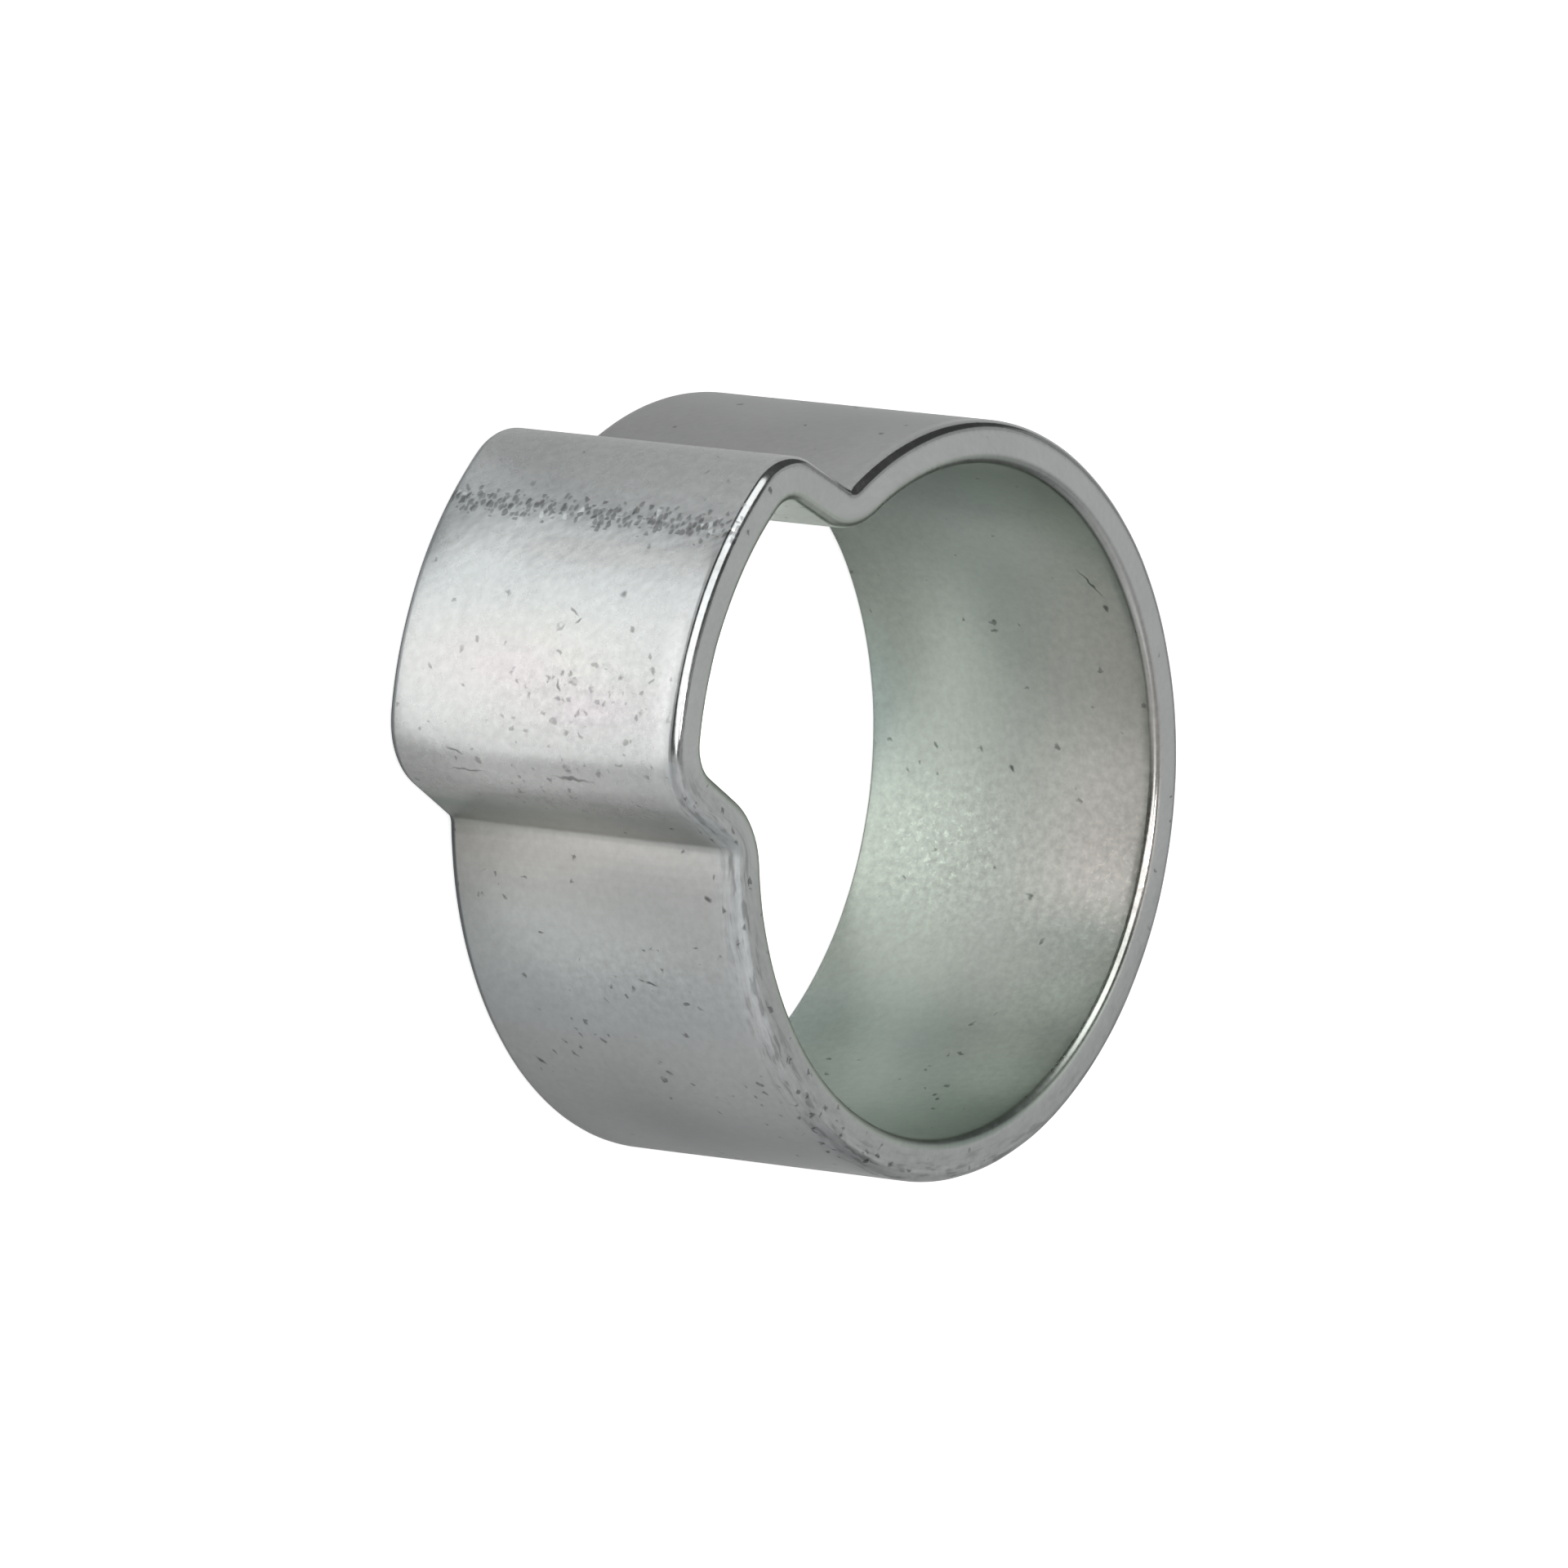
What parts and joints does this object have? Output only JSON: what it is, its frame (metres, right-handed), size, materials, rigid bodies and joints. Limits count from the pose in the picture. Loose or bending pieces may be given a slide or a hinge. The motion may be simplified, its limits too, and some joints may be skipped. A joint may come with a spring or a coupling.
{
  "type": "single ear hose clamp",
  "caption": "Closed ring of flat metal band with a raised box-shaped ear that pincers squeeze in to tighten the ring round a hose.",
  "frame": {"origin": "on the bore's axis, in the plane of the rim that the clamp lies on", "axes": "+Z along the bore, up from the rim it lies on; +Y from the bore's axis towards the ear; +X across the ear"},
  "size_m": [0.0172, 0.0199, 0.008],
  "materials": {
    "zinc_plated_steel": "bright zinc plating, satin, over pressed steel"
  },
  "bodies": {
    "root": {"clamp_band": "zinc_plated_steel"}
  },
  "joints": []
}
